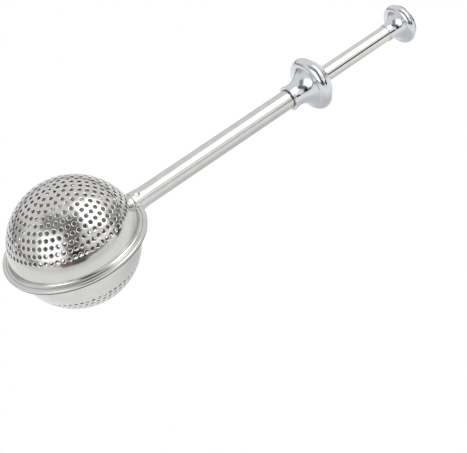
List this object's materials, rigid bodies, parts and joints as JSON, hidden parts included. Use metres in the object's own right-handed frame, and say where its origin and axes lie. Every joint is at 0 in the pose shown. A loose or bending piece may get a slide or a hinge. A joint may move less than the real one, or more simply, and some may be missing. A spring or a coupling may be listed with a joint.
{
  "type": "tea infuser",
  "caption": "Push-type tea infuser: a perforated steel ball on a long handle; pushing the thumb knob turns one half of the ball into the other, so it opens as a scoop.",
  "frame": {"origin": "centre of the ball, on the handle's axis", "axes": "+X along the handle towards the thumb knob, +Z towards the pole of the fixed half ball, +Y completes a right-handed frame"},
  "size_m": [0.182, 0.052, 0.046],
  "materials": {
    "perforated_steel": "satin-polished stainless sheet, punched",
    "moving_half_steel": "satin-polished stainless sheet, punched",
    "satin_tube": "satin stainless tube",
    "polished_tube": "polished stainless tube",
    "chrome_fittings": "mirror chrome",
    "inner_steel": "turned stainless",
    "acetal": "natural acetal",
    "silicone": "soft silicone"
  },
  "bodies": {
    "handle": {"outer_shell": "perforated_steel", "handle_tube": "satin_tube", "neck_bush": "acetal", "thrust_washer": "inner_steel", "finger_collar": "chrome_fittings", "friction_ring": "silicone", "guide_key": "inner_steel", "pivot_rivet": "inner_steel", "pivot_spacer": "acetal", "pivot_washer": "inner_steel"},
    "plunger": {"plunger_tube": "polished_tube", "drive_nut": "acetal", "knob_plug": "inner_steel", "thumb_knob": "chrome_fittings"},
    "moving_half": {"inner_shell": "moving_half_steel", "spindle_journal": "inner_steel", "twisted_strip": "inner_steel", "journal_clip": "inner_steel"}
  },
  "joints": [
    {"name": "plunger_slide", "type": "slide", "parent": "handle", "child": "plunger", "axis": [-1, 0, 0], "range_m": [0, 0.032]},
    {"name": "shell_turn", "type": "hinge", "parent": "handle", "child": "moving_half", "pos_m": [0, 0, 0], "axis": [1, 0, 0], "range_deg": [0, 180]}
  ],
  "couplings": [
    {"joint": "shell_turn", "follows": "plunger_slide", "rad_per_m": 98.175}
  ]
}
